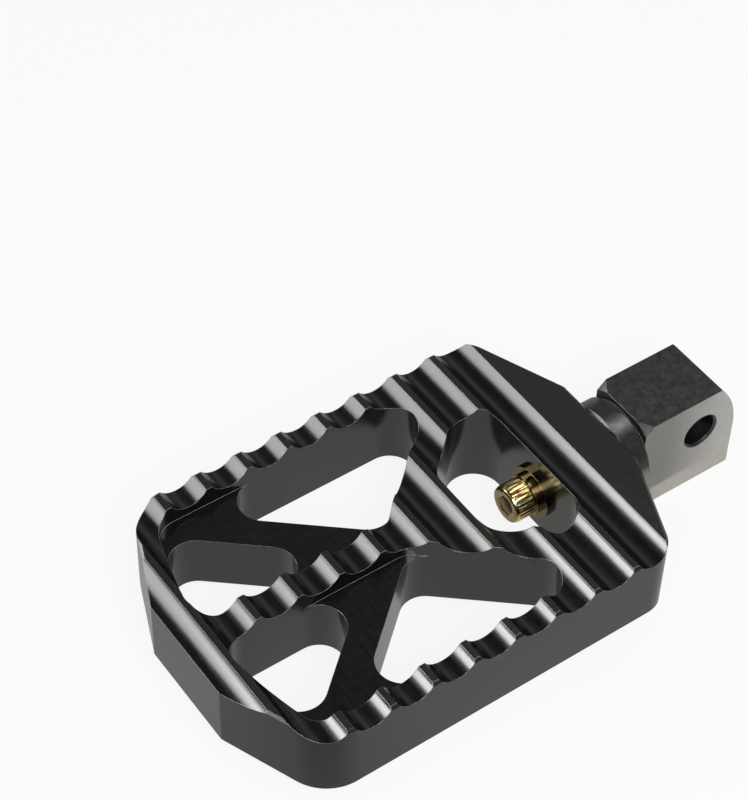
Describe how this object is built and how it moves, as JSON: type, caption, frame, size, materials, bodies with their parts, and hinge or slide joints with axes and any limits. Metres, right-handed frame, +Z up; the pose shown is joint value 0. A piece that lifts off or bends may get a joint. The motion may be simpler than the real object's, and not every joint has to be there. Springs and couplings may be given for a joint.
{
  "type": "motorcycle foot peg",
  "caption": "Fluted aluminium foot peg platform with triangular windows and crossing braces, clamped by a cap screw to a turned neck and a flat mounting block with a cross bore.",
  "frame": {"origin": "centre of the pivot bore in the mount block", "axes": "+X outboard to the tip of the platform, +Y along the pivot bore, +Z up"},
  "size_m": [0.1329, 0.0698, 0.0253],
  "materials": {
    "black_anodised": "satin black anodised, with fine machining lines",
    "yellow_zinc": "yellow zinc plate, slightly iridescent",
    "bright_steel": "plain bright steel"
  },
  "bodies": {
    "mount": {"mount": "black_anodised", "cap_screw": "yellow_zinc", "lock_washer": "yellow_zinc", "flat_washer": "yellow_zinc"},
    "platform": {"platform": "black_anodised"},
    "set_screw": {"set_screw": "bright_steel"}
  },
  "joints": [
    {"name": "platform_turn", "type": "hinge", "parent": "mount", "child": "platform", "pos_m": [0.0217, 0, -0.0021], "axis": [1, 0, 0], "continuous": true},
    {"name": "set_screw_travel", "type": "slide", "parent": "mount", "child": "set_screw", "axis": [-1, 0, 0], "range_m": [-0.003, 0.004]}
  ]
}
